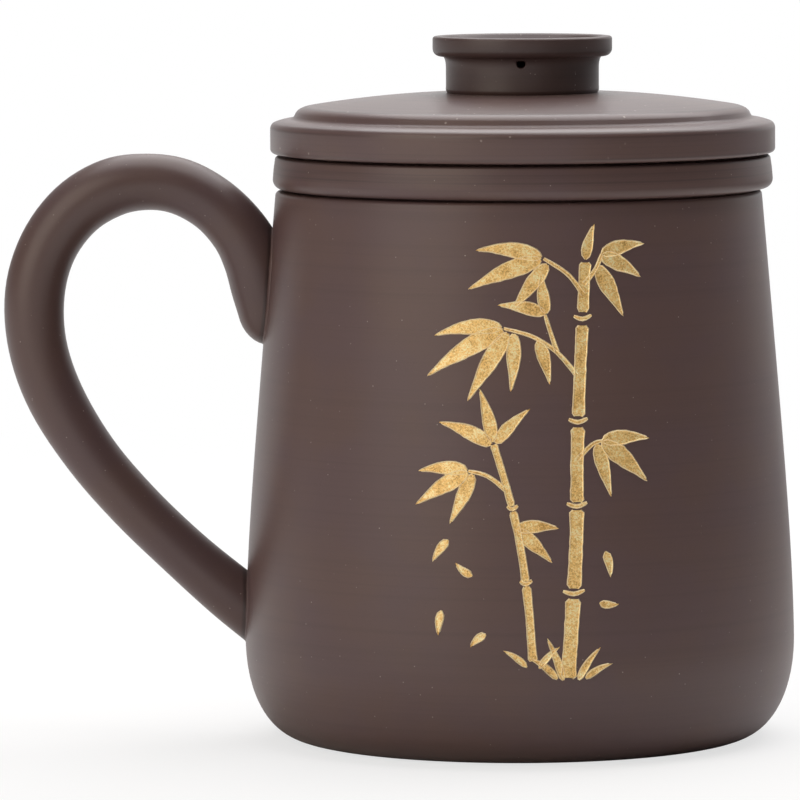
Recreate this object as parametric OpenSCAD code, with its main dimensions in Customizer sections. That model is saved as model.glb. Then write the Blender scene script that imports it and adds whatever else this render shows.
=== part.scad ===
// Lidded tea mug with a lift-out infuser, in unglazed purple clay.
// Millimetres, +Z up. The origin is on the mug's axis, on the surface it stands on.
// The handle points along -X.

/* [Mug body] */
// Height of the mouth above the surface that the mug stands on
mouth_z = 93.4; // [88:0.1:100]
// Outside radius of the mouth
mouth_r = 41.3; // [40.8:0.05:42]
// Outside radius at the widest place, low on the body
belly_r = 46.85; // [45:0.05:50]
// Height of the widest place
belly_z = 17.3; // [14:0.1:22]
// Outside radius of the foot, where the rounded bottom corner ends
foot_r = 36.4; // [35:0.1:40]
// How far the wall bows out between mouth and belly, as a share of its flare
wall_bow = 0.22; // [0:0.01:0.5]
// How much fuller the wall is just above the widest place, as a share of its flare
wall_fullness = 0.57; // [0:0.01:0.7]
// Fullness of the rounded bottom corner: 2 is an ellipse, more is squarer
corner_power = 2.16; // [1.8:0.02:2.6]
// Thickness of the body's wall
wall_t = 4; // [3.5:0.1:4.2]
// Height of the floor inside the mug
floor_z = 6; // [4.5:0.1:8]
// Radius of the round slab that closes the bottom
base_r = 33; // [30:0.1:34]
// How far the slab stands up inside the foot ring
foot_recess = 1; // [0.5:0.1:2]

/* [Handle] */
// Ratio of the handle's depth to its thickness as seen from the side
handle_oval = 1.12; // [1:0.01:1.3]
// Number of sides of the handle's round section
handle_sides = 32; // [16:2:40]
// Number of rings between two points of the handle's centre line
handle_rings = 4; // [2:1:5]

/* [Infuser] */
// Outside radius of the infuser's rim
rim_r = 42.5; // [42:0.05:44]
// Height of the infuser's rim
rim_h = 6; // [5:0.1:8]
// How far the infuser sits off the mug's axis, within its play
infuser_shift = 0.7; // [0:0.05:0.7]
// Outside radius of the infuser's wall just under its rim
strainer_top_r = 36.2; // [35:0.1:36.3]
// Outside radius of the infuser's wall above its rounded bottom
strainer_low_r = 34.2; // [32:0.1:35]
// Thickness of the infuser's wall
strainer_t = 2.6; // [2:0.1:3]
// Height of the infuser's underside above the surface that the mug stands on
strainer_z = 29.4; // [20:0.1:40]
// Diameter of the strainer holes
hole_d = 2.2; // [1.5:0.1:3]
// Strainer holes in each row round the wall
holes_round = 20; // [12:1:24]
// Rows of strainer holes up the wall
hole_rows = 5; // [2:1:6]
// Rings of strainer holes round the one in the middle of the floor
floor_rings = 3; // [1:1:3]

/* [Lid] */
// Outside radius of the lid
lid_r = 42.9; // [42.5:0.05:45]
// Height of the lid's upright edge
lid_edge_h = 5.6; // [4:0.1:8]
// Radius of the foot of the raised dome
dome_foot_r = 39.5; // [38:0.1:40]
// Rise of the sloping ledge from the lid's edge to the dome
ledge_rise = 0.7; // [0.5:0.05:1.5]
// Height of the dome at the foot of the knob, above the top of the ledge
dome_h = 4.15; // [4:0.05:6]
// How far the dome falls from the foot of the knob to its own foot
dome_fall = 2.7; // [2:0.05:2.85]
// Shape of the fall: 1 is a cone, more stays level for longer near the knob
dome_power = 1.7; // [1.3:0.05:2.5]
// Clearance round the lid's skirt, inside the infuser's rim
skirt_gap = 0.5; // [0.3:0.05:0.8]
// Depth of the lid's skirt
skirt_h = 6; // [4:0.1:10]

/* [Knob] */
// Outside radius of the knob's neck
neck_r = 13; // [11:0.1:14]
// Inside radius of the hollow neck
neck_bore_r = 10; // [8:0.1:10.5]
// Height of the neck
neck_h = 6.2; // [5:0.1:9]
// Outside radius of the knob's cap
cap_r = 15.25; // [14.8:0.05:18]
// Height of the knob's cap
cap_h = 3.4; // [2.8:0.1:5]
// Depth of the dish in the cap's top
dish_depth = 1.3; // [1.1:0.1:1.6]
// Diameter of the steam vent through the neck
vent_d = 1.4; // [1:0.1:2]

/* [Hidden] */
// Heights of the seats: lid on infuser, dome on lid plate, knob on dome
lid_z = mouth_z + rim_h;
ledge_z = lid_z + lid_edge_h + ledge_rise;
dome_top_z = ledge_z + dome_h;
cap_z = dome_z(neck_r) + neck_h;

// Rounded edges, across and up, where they differ from a plain quarter circle
rim_low_round = [1.5, 1.6];
lid_low_round = [0.8, 0.8];
lid_top_round = [1.0, 1.2];
cap_low_round = [1.4, 1.3];
edge_round = 0.5;
soft_round = 0.9;

// The lid and the infuser's rim are undercut at their outer edge: height and depth of that gap
joint_gap = 0.3;
joint_depth = 2.5;
// The rim leans in towards its top
rim_lean = 0.45;
// Bore of the rim, and of the infuser's wall where it meets the rim
rim_bore_r = strainer_top_r - strainer_t;
// Radius of the rounded corner inside and under the strainer
strainer_corner = 6.7;
strainer_floor_r = strainer_low_r - strainer_corner;
strainer_corner_z = strainer_z + strainer_corner;
// Lowest row of wall holes, the distance between rows, and between the floor's rings
first_row_z = strainer_corner_z + 4;
row_pitch = 6.5;
ring_pitch = 6.5;

// Opening in the lid plate under the dome
plate_bore_r = 29.5;
skirt_t = 2.5;
skirt_r = rim_bore_r - skirt_gap;
// The dome's edge: its coved foot, then a broad rounded shoulder that turns by shoulder_turn
// degrees before it meets the dome's own slope
dome_t = 2.9;
dome_cove = [0.5, 0.15];
shoulder = [3.1, 1.7];
shoulder_r = dome_foot_r - 0.8;
shoulder_turn = 74;
// Width of the flat between the ledge's slope and the dome's foot
ledge_flat = 0.3;
// Coved foot and head of the knob's neck, and the cap's flat lip
neck_foot_cove = [0.2, 0.7];
neck_head_cove = [0.6, 1.9];
lip_w = 1.2;
// The clay left above the vent, and the degrees that the vent sits off the front
vent_drop = 0.3;
vent_turn = 2;

// Centre line of the handle and its half thickness there: [x, z, half thickness].
// It runs from the rounded tip of the upper joint, over the top and down to the lower joint.
handle_line = [
    [-43.1, 73.1, 4.8], [-43.9, 76.8, 5.1], [-45.1, 81.8, 5.25], [-47.6, 86.5, 5.0],
    [-51.8, 90.9, 4.8], [-57.3, 94.0, 4.8], [-63.1, 94.9, 4.8], [-69.3, 93.9, 5.0],
    [-75.4, 90.2, 5.0], [-80.1, 83.9, 5.0], [-82.4, 76.0, 5.1], [-82.0, 67.0, 5.0],
    [-78.9, 57.9, 4.9], [-73.0, 48.3, 4.6], [-65.7, 39.7, 4.5], [-57.4, 31.6, 4.5],
    [-49.5, 24.7, 4.8], [-42.5, 19.2, 5.0]
];
// Length of the rounded upper tip, and the angles of its rings
tip_length = 6.1;
tip_angles = [75, 55, 35, 15];

smooth = 180;
corner_steps = 6;
wall_steps = 18;
clay = [0.37, 0.30, 0.28];
dark_clay = [0.30, 0.25, 0.23];

function mix(a, b, t) = a + (b - a) * t;

// Part of an ellipse about [cx, cz] with half axes [rx, rz], from angle a0 to a1
function curve(cx, cz, size, a0, a1) = [
    for (i = [0 : corner_steps])
        let (a = mix(a0, a1, i / corner_steps))
        [cx + size[0] * cos(a), cz + size[1] * sin(a)]
];

// Outside radius of the body's wall at height z, from the belly to the mouth
function wall_r(z) =
    let (t = (mouth_z - z) / (mouth_z - belly_z))
    mouth_r + (belly_r - mouth_r) * t * (1 + (wall_bow + wall_fullness * t * t) * (1 - t));

// Height of the dome's surface at radius r
function dome_z(r) =
    dome_top_z - dome_fall * pow(max(r - neck_r, 0) / (dome_foot_r - neck_r), dome_power);

// The body's outside, from the foot up to just under the mouth
function body_outside(top_z) = concat(
    [for (i = [0 : 2 * corner_steps])
        let (a = 90 - 90 * i / (2 * corner_steps), power = 2 / corner_power)
        [
            foot_r + (belly_r - foot_r) * pow(cos(a), power),
            belly_z * (1 - pow(sin(a), power))
        ]],
    [for (i = [1 : wall_steps])
        let (z = mix(belly_z, top_z, i / wall_steps))
        [wall_r(z), z]]
);

// The body's inside, from the mouth down to the base slab
function body_inside(top_z) = concat(
    [for (i = [0 : wall_steps])
        let (z = mix(top_z, belly_z, i / wall_steps))
        [wall_r(z) - wall_t, z]],
    curve(base_r, belly_z, [belly_r - wall_t - base_r, belly_z - floor_z], 0, -90)
);

// Outside radius of the infuser's wall at height z
function strainer_r(z) =
    mix(strainer_low_r, strainer_top_r, (z - strainer_corner_z) / (mouth_z - strainer_corner_z));

// A smooth curve through four neighbouring points of a line
function spline(a, b, c, d, t) =
    0.5 * (2 * b + (c - a) * t + (2 * a - 5 * b + 4 * c - d) * t * t + (3 * b - a - 3 * c + d) * t * t * t);

module turned(outline) {
    rotate_extrude($fn = smooth) polygon(outline);
}

// The infuser and the lid on it share an axis that sits off the mug's by the infuser's play
module on_infuser_axis() {
    translate([infuser_shift, 0, 0]) children();
}

module body_solid() {
    turned(concat([[0, 0]], body_outside(mouth_z), [[0, mouth_z]]));
}

// A tube of round section along the line, with a rounded first end
module handle_tube() {
    last = len(handle_line) - 1;
    line = [
        for (i = [0 : last - 1], k = [0 : handle_rings - 1])
            spline(
                handle_line[max(i - 1, 0)], handle_line[i],
                handle_line[i + 1], handle_line[min(i + 2, last)],
                k / handle_rings
            ),
        handle_line[last]
    ];
    count = len(line);
    // Direction along the line at each ring
    along = [
        for (i = [0 : count - 1])
            let (d = line[min(i + 1, count - 1)] - line[max(i - 1, 0)])
            [d[0], d[1]] / norm([d[0], d[1]])
    ];
    tip = line[0];
    // Each ring is its middle, its direction and its half thickness
    rings = concat(
        [for (a = tip_angles)
            [[tip[0], tip[1]] - along[0] * tip_length * sin(a), along[0], tip[2] * cos(a)]],
        [for (i = [0 : count - 1]) [[line[i][0], line[i][1]], along[i], line[i][2]]]
    );
    sides = handle_sides;
    points = [
        for (ring = rings, j = [0 : sides - 1])
            let (a = 360 * j / sides, across = ring[2] * cos(a))
            [
                ring[0][0] - ring[1][1] * across,
                ring[2] * handle_oval * sin(a),
                ring[0][1] + ring[1][0] * across
            ]
    ];
    walls = [
        for (i = [0 : len(rings) - 2], j = [0 : sides - 1])
            let (k = (j + 1) % sides, low = i * sides, high = low + sides)
            each [[low + j, high + j, high + k], [low + j, high + k, low + k]]
    ];
    first_end = [for (j = [0 : sides - 1]) j];
    last_end = [for (j = [sides - 1 : -1 : 0]) (len(rings) - 1) * sides + j];
    polyhedron(points, concat(walls, [first_end], [last_end]));
}

module mug_wall() {
    color(clay)
    turned(concat(
        [[base_r, 0]],
        body_outside(mouth_z - edge_round),
        curve(wall_r(mouth_z - edge_round) - edge_round, mouth_z - edge_round,
            [edge_round, edge_round], 15, 90),
        curve(mouth_r - wall_t + soft_round, mouth_z - soft_round,
            [soft_round, soft_round], 90, 165),
        body_inside(mouth_z - soft_round)
    ));
}

module mug_base() {
    color(dark_clay)
    translate([0, 0, foot_recess])
    cylinder(r = base_r, h = floor_z - foot_recess, $fn = smooth);
}

module handle() {
    color(clay)
    difference() {
        handle_tube();
        body_solid();
    }
}

module infuser_rim() {
    color(clay)
    on_infuser_axis()
    turned(concat(
        [[rim_bore_r, mouth_z], [rim_r - joint_depth, mouth_z]],
        curve(rim_r - rim_low_round[0], mouth_z + joint_gap + rim_low_round[1], rim_low_round, -90, 0),
        curve(rim_r - rim_lean - edge_round, lid_z - edge_round, [edge_round, edge_round], 0, 90),
        curve(rim_bore_r + soft_round, lid_z - soft_round, [soft_round, soft_round], 90, 180)
    ));
}

module infuser_wall() {
    inner_corner = strainer_corner - strainer_t;
    color(clay)
    on_infuser_axis()
    difference() {
        turned(concat(
            curve(strainer_floor_r, strainer_corner_z, [strainer_corner, strainer_corner], -90, 0),
            [[strainer_top_r, mouth_z], [rim_bore_r, mouth_z]],
            curve(strainer_floor_r, strainer_corner_z, [inner_corner, inner_corner], 0, -90)
        ));
        for (row = [0 : hole_rows - 1], k = [0 : holes_round - 1]) {
            z = first_row_z + row * row_pitch;
            rotate([0, 0, 360 * (k + (row % 2) / 2) / holes_round])
            translate([strainer_r(z) - strainer_t / 2, 0, z])
            rotate([0, 90, 0])
            cylinder(d = hole_d, h = 3 * strainer_t, center = true, $fn = 24);
        }
    }
}

module infuser_floor() {
    color(dark_clay)
    on_infuser_axis()
    translate([0, 0, strainer_z])
    difference() {
        cylinder(r = strainer_floor_r, h = strainer_t, $fn = smooth);
        for (ring = [0 : floor_rings], k = [0 : max(6 * ring, 1) - 1])
            rotate([0, 0, 60 * k / max(ring, 1)])
            translate([ring * ring_pitch, 0, -strainer_t])
            cylinder(d = hole_d, h = 3 * strainer_t, $fn = 24);
    }
}

module lid_plate() {
    edge_z = lid_z + lid_edge_h;
    color(clay)
    on_infuser_axis()
    turned(concat(
        [[plate_bore_r, lid_z], [lid_r - joint_depth, lid_z]],
        curve(lid_r - lid_low_round[0], lid_z + joint_gap + lid_low_round[1], lid_low_round, -90, 0),
        curve(lid_r - lid_top_round[0], edge_z - lid_top_round[1], lid_top_round, 0, 80),
        [[dome_foot_r + ledge_flat, ledge_z], [plate_bore_r, ledge_z]]
    ));
}

module lid_dome() {
    middle_r = shoulder_r - shoulder[0];
    join_r = middle_r + shoulder[0] * cos(shoulder_turn);
    shoulder_z = dome_z(join_r) - shoulder[1] * sin(shoulder_turn);
    underside_z = dome_z(neck_bore_r) - dome_t;
    color(clay)
    on_infuser_axis()
    turned(concat(
        [[plate_bore_r, ledge_z], [dome_foot_r, ledge_z]],
        [[dome_foot_r - dome_cove[0], ledge_z + dome_cove[1]]],
        curve(middle_r, shoulder_z, shoulder, 5, shoulder_turn),
        [for (i = [1 : wall_steps])
            let (r = mix(join_r, neck_r + neck_foot_cove[0], i / wall_steps))
            [r, dome_z(r)]],
        [[neck_r, dome_z(neck_r)], [neck_bore_r, dome_z(neck_r)], [neck_bore_r, underside_z]]
    ));
}

module lid_skirt() {
    low_z = lid_z - skirt_h;
    color(dark_clay)
    on_infuser_axis()
    turned(concat(
        [[skirt_r - skirt_t, lid_z]],
        curve(skirt_r - skirt_t + edge_round, low_z + edge_round, [edge_round, edge_round], 180, 270),
        curve(skirt_r - edge_round, low_z + edge_round, [edge_round, edge_round], 270, 360),
        [[skirt_r, lid_z]]
    ));
}

module knob_neck() {
    foot_z = dome_z(neck_r);
    color(clay)
    on_infuser_axis()
    difference() {
        turned(concat(
            [[neck_bore_r, foot_z]],
            curve(neck_r + neck_foot_cove[0], foot_z + neck_foot_cove[1], neck_foot_cove, 270, 180),
            curve(neck_r + neck_head_cove[0], cap_z - neck_head_cove[1], neck_head_cove, 180, 90),
            [[neck_bore_r, cap_z]]
        ));
        rotate([0, 0, -vent_turn])
        translate([0, -(neck_r + neck_bore_r) / 2, cap_z - vent_d / 2 - vent_drop])
        rotate([90, 0, 0])
        cylinder(d = vent_d, h = 2 * (neck_r - neck_bore_r), center = true, $fn = 32);
    }
}

module knob_cap() {
    top_z = cap_z + cap_h;
    dish_r = cap_r - edge_round - lip_w;
    color(clay)
    on_infuser_axis()
    turned(concat(
        [[0, cap_z]],
        curve(cap_r - cap_low_round[0], cap_z + cap_low_round[1], cap_low_round, -90, 0),
        curve(cap_r - edge_round, top_z - edge_round, [edge_round, edge_round], 0, 90),
        curve(dish_r, top_z - edge_round, [edge_round, edge_round], 90, 180),
        [[dish_r - edge_round, top_z - dish_depth + edge_round]],
        [[dish_r - 2 * edge_round, top_z - dish_depth], [0, top_z - dish_depth]]
    ));
}

mug_wall();
mug_base();
handle();
infuser_rim();
infuser_wall();
infuser_floor();
lid_plate();
lid_dome();
lid_skirt();
knob_neck();
knob_cap();
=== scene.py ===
"""Finish and staging of a lidded purple-clay tea mug with a lift-out infuser.

Metres, +Z up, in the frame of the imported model: the origin is on the mug's axis, on the
surface that it stands on, and the handle points along -X.
"""

import math

import bmesh
import bpy
from mathutils import Matrix, Vector, noise


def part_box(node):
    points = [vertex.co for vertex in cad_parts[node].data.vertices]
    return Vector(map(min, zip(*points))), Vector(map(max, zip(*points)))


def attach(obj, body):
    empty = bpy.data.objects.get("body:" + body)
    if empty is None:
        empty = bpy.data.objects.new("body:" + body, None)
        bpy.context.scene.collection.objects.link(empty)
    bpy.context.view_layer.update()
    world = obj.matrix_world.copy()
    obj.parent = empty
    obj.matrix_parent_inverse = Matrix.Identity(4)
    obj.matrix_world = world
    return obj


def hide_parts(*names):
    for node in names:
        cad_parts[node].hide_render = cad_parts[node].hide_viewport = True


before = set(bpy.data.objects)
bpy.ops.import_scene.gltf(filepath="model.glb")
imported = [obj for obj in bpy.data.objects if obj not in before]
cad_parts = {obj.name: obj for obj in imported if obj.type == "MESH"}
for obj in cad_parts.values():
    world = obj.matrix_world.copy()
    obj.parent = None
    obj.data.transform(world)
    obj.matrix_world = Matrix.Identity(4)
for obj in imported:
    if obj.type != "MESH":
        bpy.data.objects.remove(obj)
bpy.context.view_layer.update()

MM = 0.001


# ---------------------------------------------------------------- Sizes

def half_width(node):
    """Radius of a round node, from its width."""
    low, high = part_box(node)
    return (high.y - low.y) / 2


def foot_of(node):
    """Height of a node's lowest point."""
    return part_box(node)[0].z


def head_of(node):
    """Height of a node's highest point."""
    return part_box(node)[1].z


# Mug body
MOUTH_Z = head_of("mug_wall")
MOUTH_R = 41.3 * MM
BELLY_R = half_width("mug_wall")
BELLY_Z = 17.3 * MM
FOOT_R = 36.4 * MM
# Bow of the side's curve from mouth to belly, and how much fuller it is low down
WALL_BOW = 0.22
WALL_FULLNESS = 0.57
# Shape of the corner at the foot: 2 is an oval, and more is squarer
CORNER_POWER = 2.16
WALL_T = 4.0 * MM
BASE_R = half_width("mug_base")
FLOOR_Z = head_of("mug_base")

# The infuser and the lid share an axis a little to one side of the mug's
SEAT_X = (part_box("infuser_rim")[0].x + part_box("infuser_rim")[1].x) / 2
RIM_R = half_width("infuser_rim")
RIM_LEAN = 0.45 * MM
STRAINER_TOP_R = half_width("infuser_wall")
STRAINER_LOW_R = 34.2 * MM
STRAINER_Z = foot_of("infuser_wall")
STRAINER_FLOOR_R = half_width("infuser_floor")
STRAINER_T = head_of("infuser_floor") - STRAINER_Z
RIM_BORE_R = STRAINER_TOP_R - STRAINER_T
STRAINER_CORNER = STRAINER_LOW_R - STRAINER_FLOOR_R
STRAINER_CORNER_Z = STRAINER_Z + STRAINER_CORNER
HOLE_R = 1.1 * MM
HOLES_ROUND = 20
HOLE_ROWS = 5
HOLE_PITCH = 6.5 * MM
FIRST_ROW_Z = STRAINER_CORNER_Z + 4 * MM
FLOOR_RINGS = 3

# Lid
LID_Z = head_of("infuser_rim")
LID_R = half_width("lid_plate")
LID_EDGE_Z = LID_Z + 5.6 * MM
LEDGE_Z = head_of("lid_plate")
PLATE_BORE_R = 29.5 * MM
DOME_FOOT_R = half_width("lid_dome")
DOME_FALL = 2.7 * MM
DOME_POWER = 1.7
SHOULDER_R = DOME_FOOT_R - 0.8 * MM
SHOULDER_W = 3.1 * MM
SHOULDER_H = 1.7 * MM
# The shoulder is the part of its oval between these angles, in degrees
SHOULDER_TURN = (19, 74)
COVE_W = 1.2 * MM
COVE_H = 0.9 * MM
LEDGE_FALL = 0.2 * MM
DOME_T = 2.9 * MM
SKIRT_R = half_width("lid_skirt")
SKIRT_Z = foot_of("lid_skirt")
SKIRT_T = 2.5 * MM

# The lid and the infuser's rim are undercut at their outer edge
JOINT_GAP = 0.3 * MM
JOINT_DEPTH = 2.5 * MM
JOINT_SLOPE = 0.2 * MM
# and what they stand on falls a little towards its own edge
JOINT_FALL = 0.25 * MM
# Reach of their rounded edges, as (across, up)
RIM_LOW_EDGE = (1.5 * MM, 1.6 * MM)
LID_LOW_EDGE = (0.8 * MM, 0.8 * MM)
LID_TOP_EDGE = (1.0 * MM, 1.2 * MM)

# Knob
NECK_R = 13.0 * MM
NECK_BORE_R = 10.0 * MM
NECK_Z = foot_of("knob_neck")
NECK_COVE = (0.6 * MM, 1.9 * MM)
CAP_R = half_width("knob_cap")
CAP_Z = foot_of("knob_cap")
CAP_TOP_Z = head_of("knob_cap")
LIP_W = 1.2 * MM
DISH_DEPTH = 1.3 * MM
VENT_R = 0.7 * MM
VENT_Z = CAP_Z - VENT_R - 0.2 * MM
VENT_TURN = 2.0
# The drill goes this far in past the front of the neck, and flares at the vent's mouth
VENT_REACH = 6 * MM
VENT_FLARE = 0.12 * MM

# Handle: its centre line from the tip of the upper joint to the lower joint,
# as (across, up, half thickness) in millimetres
HANDLE_LINE = [
    (-43.1, 73.1, 4.8), (-43.9, 76.8, 5.1), (-45.1, 81.8, 5.25), (-47.6, 86.5, 5.0),
    (-51.8, 90.9, 4.8), (-57.3, 94.0, 4.8), (-63.1, 94.9, 4.8), (-69.3, 93.9, 5.0),
    (-75.4, 90.2, 5.0), (-80.1, 83.9, 5.0), (-82.4, 76.0, 5.1), (-82.0, 67.0, 5.0),
    (-78.9, 57.9, 4.9), (-73.0, 48.3, 4.6), (-65.7, 39.7, 4.5), (-57.4, 31.6, 4.5),
    (-49.5, 24.7, 4.8), (-42.5, 19.2, 5.0),
]
# Length of its rounded tip, its width to its thickness, and its depth in the wall
HANDLE_TIP = 6.1 * MM
HANDLE_OVAL = 1.12
HANDLE_BURIED = 1.5 * MM
# The painted shade in the crease round each joint: the middle of the dark line's distance
# from the wall, and how far to each side it is full and where it ends
CREASE_RISE = 0.45 * MM
CREASE_CORE = 0.05 * MM
CREASE_REACH = 0.60 * MM

# Mesh fineness
TURN_STEPS = 180
DRILL_STEPS = 40
HOLE_SIDES = 20
HANDLE_SIDES = 56
SEAM_RINGS = 120
SEAM_SIDES = 12
SEAM_SMOOTHING = 3
ROUND_SEGMENTS = 8
LONGEST_EDGE = 1.5 * MM
# Vertices nearer to each other than this are one
SAME_PLACE = 0.001 * MM


def wall_r(z):
    """Outside radius of the mug's wall at height z, a number or a shader's value."""
    t = (MOUTH_Z - z) * (1 / (MOUTH_Z - BELLY_Z))
    full = (t * t * WALL_FULLNESS + WALL_BOW) * (1 - t)
    return t * (full + 1) * (BELLY_R - MOUTH_R) + MOUTH_R


def dome_z(r):
    """Height of the dome's surface at radius r."""
    t = max(r - NECK_R, 0) / (DOME_FOOT_R - NECK_R)
    return NECK_Z - DOME_FALL * t ** DOME_POWER


def mix(a, b, t):
    """Number at share t of the way from a to b."""
    return a + (b - a) * t


def spline(points, t):
    """Point at share t of the way along a smooth curve through the points."""
    spans = len(points) - 1
    i = min(int(t * spans), spans - 1)
    u = t * spans - i
    a, b, c, d = (Vector(points[max(0, min(spans, i + k))]) for k in (-1, 0, 1, 2))
    return (
        2 * b + (c - a) * u
        + (2 * a - 5 * b + 4 * c - d) * u ** 2
        + (3 * b - a - 3 * c + d) * u ** 3
    ) / 2


# ---------------------------------------------------------------- Making meshes

def mesh_of(name, bm):
    """A mesh with what the bmesh holds."""
    mesh = bpy.data.meshes.new(name)
    bm.to_mesh(mesh)
    bm.free()
    return mesh


def added(name, data):
    """A new object in the scene."""
    made = bpy.data.objects.new(name, data)
    bpy.context.scene.collection.objects.link(made)
    return made


def finished(name, bm, body, material, slot, *nodes):
    """Turn a bmesh into a smooth piece that rides on a body and stands for CAD nodes."""
    for face in bm.faces:
        face.smooth = True
    piece = added(name, mesh_of(name, bm))
    piece.data.materials.append(material)
    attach(piece, body)
    if nodes:
        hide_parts(*nodes)
    return piece


def wire(bm, outline, closed):
    """Draw an outline of (radius, height, rounding) corners in the XZ plane and round it."""
    corners = [bm.verts.new((r, 0, z)) for r, z, _ in outline]
    for i in range(len(corners) - (0 if closed else 1)):
        bm.edges.new((corners[i], corners[(i + 1) % len(corners)]))
    for corner, (_, _, rounding) in zip(corners, outline):
        if rounding:
            bmesh.ops.bevel(
                bm, geom=[corner], offset=rounding, offset_type="OFFSET",
                segments=ROUND_SEGMENTS, profile=0.5, affect="VERTICES", material=-1,
            )
    for edge in bm.edges[:]:
        cuts = int(edge.calc_length() / LONGEST_EDGE)
        if cuts:
            bmesh.ops.subdivide_edges(bm, edges=[edge], cuts=cuts)


def curve(middle, reach, start, stop, steps=10):
    """Outline points on part of an oval, between two angles in degrees."""
    points = []
    for i in range(steps + 1):
        a = math.radians(mix(start, stop, i / steps))
        r = middle[0] + reach[0] * math.cos(a)
        z = middle[1] + reach[1] * math.sin(a)
        points.append((r, z, 0.0))
    return points


def turn(bm, steps):
    """Turn what is drawn once round the upright axis."""
    bmesh.ops.spin(
        bm, geom=bm.verts[:] + bm.edges[:], cent=(0, 0, 0), axis=(0, 0, 1),
        angle=math.tau, steps=steps, use_merge=True,
    )
    bmesh.ops.remove_doubles(bm, verts=bm.verts, dist=SAME_PLACE)
    bmesh.ops.recalc_face_normals(bm, faces=bm.faces)


def turned(outline, axis_x=0.0, closed=True):
    """A shape turned from its outline, as on the wheel."""
    bm = bmesh.new()
    wire(bm, outline, closed)
    turn(bm, TURN_STEPS)
    bmesh.ops.translate(bm, verts=bm.verts, vec=(axis_x, 0, 0))
    return bm


def verts_in(made):
    """The vertices among what an operator made."""
    return [v for v in made if isinstance(v, bmesh.types.BMVert)]


def swept(places, sides, ring_closed):
    """A circle swept through its places, one matrix each. Its ends meet, or close at a point."""
    bm = bmesh.new()
    ring = bmesh.ops.create_circle(bm, segments=sides, radius=1.0)["verts"]
    first = edges = bm.edges[:]
    bmesh.ops.transform(bm, matrix=places[0], verts=ring)
    ends = [ring]
    for last, place in zip(places, places[1:]):
        made = bmesh.ops.extrude_edge_only(bm, edges=edges)["geom"]
        ring = verts_in(made)
        edges = [
            e for e in made
            if isinstance(e, bmesh.types.BMEdge) and all(v in ring for v in e.verts)
        ]
        bmesh.ops.transform(bm, matrix=place @ last.inverted(), verts=ring)
    ends.append(ring)
    if ring_closed:
        bmesh.ops.bridge_loops(bm, edges=first + edges)
    else:
        for place, ring in zip((places[0], places[-1]), ends):
            bmesh.ops.pointmerge(bm, verts=ring, merge_co=place.translation)
    bmesh.ops.recalc_face_normals(bm, faces=bm.faces)
    return bm


def ring_place(middle, side, up, along, wide, high):
    """Matrix that takes a unit circle to an oval ring across the direction along."""
    place = Matrix((side * wide, up * high, along)).transposed().to_4x4()
    place.translation = middle
    return place


# ---------------------------------------------------------------- Shaders

class Value:
    """A number that a shader works out. Arithmetic on it adds Math nodes."""

    def __init__(self, shader, socket):
        self.shader = shader
        self.socket = socket

    def math(self, operation, *values):
        """What one Math node makes of the values."""
        return self.shader.node(
            "ShaderNodeMath", {"operation": operation}, dict(enumerate(values))
        )

    def __add__(self, other):
        return self.math("ADD", self, other)

    def __sub__(self, other):
        return self.math("SUBTRACT", self, other)

    def __rsub__(self, other):
        return self.math("SUBTRACT", other, self)

    def __mul__(self, other):
        return self.math("MULTIPLY", self, other)

    def __truediv__(self, other):
        return self.math("DIVIDE", self, other)

    def __pow__(self, other):
        return self.math("POWER", self, other)

    def __lt__(self, other):
        return self.math("LESS_THAN", self, other)

    __radd__ = __add__
    __rmul__ = __mul__

    def size(self):
        """The number without its sign."""
        return self.math("ABSOLUTE", self)

    def soft_step(self, low, high):
        """0 below low, 1 above high and smooth between."""
        return self.shader.node(
            "ShaderNodeMapRange", {"interpolation_type": "SMOOTHSTEP"},
            {"Value": self, "From Min": low, "From Max": high},
        )


class Shader:
    """A node tree, and the one method that adds nodes to it."""

    def __init__(self, owner):
        owner.use_nodes = True
        self.tree = owner.node_tree
        self.tree.nodes.clear()

    def node(self, kind, settings=None, sockets=None, out=0):
        """Add a node. Settings are its own properties, sockets the numbers, colours or Values
        that go in, and out names the output that is given back, or a tuple of them."""
        made = self.tree.nodes.new(kind)
        for name, value in (settings or {}).items():
            if name == "stops":
                self.set_stops(made.color_ramp.elements, value)
            else:
                setattr(made, name, value)
        for name, value in (sockets or {}).items():
            if isinstance(value, Value):
                self.tree.links.new(value.socket, made.inputs[name])
            else:
                made.inputs[name].default_value = value
        if not made.outputs:
            return made
        if isinstance(out, tuple):
            return [Value(self, made.outputs[name]) for name in out]
        return Value(self, made.outputs[out])

    def set_stops(self, elements, stops):
        """Give a colour ramp its stops, each (position, colour)."""
        while len(elements) < len(stops):
            elements.new(0.5)
        for element, (position, colour) in zip(elements, stops):
            element.position = position
            element.color = (*colour, 1.0)

    def blend(self, factor, a, b):
        """A colour between a and b."""
        return self.node(
            "ShaderNodeMix", {"data_type": "RGBA"}, {0: factor, 6: a, 7: b}, out=2
        )


def mottle(shader, place, scale, detail):
    """Soft random patches, about as many to a metre as the scale says."""
    return shader.node(
        "ShaderNodeTexNoise", {}, {"Vector": place, "Scale": scale, "Detail": detail}
    )


# Colours of the clay and of what is in it
WARM_CLAY = (0.1025, 0.0588, 0.0515)
COOL_CLAY = (0.0965, 0.0566, 0.0560)
DARK_CLAY = (0.0550, 0.0340, 0.0320)
PALE_SAND = (0.42, 0.36, 0.32, 1.0)
CREASE_SHADE_COLOUR = (0.012, 0.008, 0.007, 1.0)

# Fineness of the patterns in the clay, to a metre
WANDER_SCALE = 30.0
CLOUD_SCALE = 60.0
BROAD_MARK_SCALE = 800.0
FINE_MARK_SCALE = 2200.0
SAND_SCALE = 1050.0
GRAIN_SCALE = 5200.0

# How far the turning marks wander, and how far from the neck the crumbs lie
MARK_WANDER = 0.6 * MM
CRUMB_REACH = 8 * MM


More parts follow.
